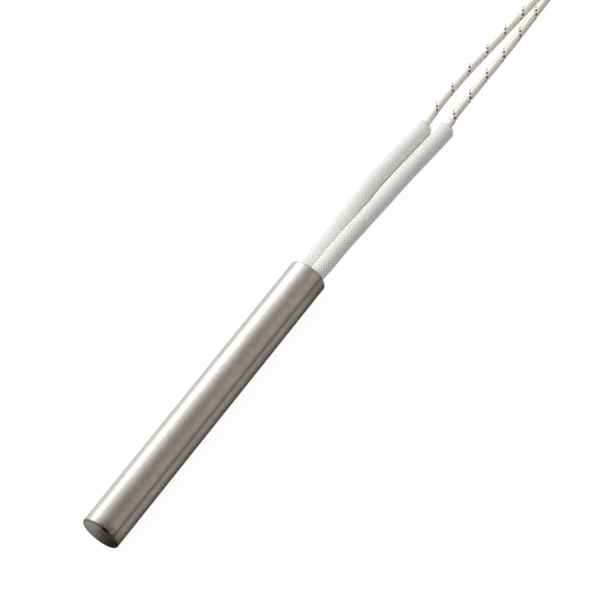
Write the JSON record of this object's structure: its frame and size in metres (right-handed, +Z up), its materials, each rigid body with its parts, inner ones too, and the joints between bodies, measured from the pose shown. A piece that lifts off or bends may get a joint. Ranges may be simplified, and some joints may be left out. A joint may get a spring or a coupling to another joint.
{
  "type": "cartridge heater",
  "caption": "Slim round metal cartridge heater, closed at one end, with sleeved braided leads at the other that run to a tied hank; heats a die, mould or block from inside a bore.",
  "frame": {"origin": "on the floor under the middle of the sheath", "axes": "+X along the sheath toward the leads, +Z up, the sheath lying on its side"},
  "size_m": [0.2859, 0.0226, 0.012],
  "materials": {
    "stainless": "fine ground stainless steel",
    "spacer_ceramic": "fired insulating ceramic",
    "core_ceramic": "pressed magnesia core",
    "magnesia": "compacted magnesia powder",
    "resistance_wire": "drawn nickel chrome wire",
    "nickel": "plain nickel",
    "crimp_steel": "plated crimp barrel",
    "seal_cement": "dry potting cement",
    "sleeve_braid": "white braided glass fibre sleeve",
    "lead_braid": "cream braided glass fibre with a dark tracer yarn",
    "tie_nylon": "natural nylon strap"
  },
  "bodies": {
    "root": {"sheath_tube": "stainless", "end_disc": "stainless", "bottom_spacer": "spacer_ceramic", "ceramic_core": "core_ceramic", "heating_coil": "resistance_wire", "magnesia_fill": "magnesia", "terminal_pin_a": "nickel", "terminal_pin_b": "nickel", "top_spacer": "spacer_ceramic", "crimp_a": "crimp_steel", "crimp_b": "crimp_steel", "lead_seal": "seal_cement", "sleeve_a": "sleeve_braid", "sleeve_b": "sleeve_braid", "lead_a": "lead_braid", "lead_b": "lead_braid", "lead_hank": "lead_braid", "hank_tie": "tie_nylon", "bare_end_a": "nickel", "bare_end_b": "nickel"}
  },
  "joints": []
}
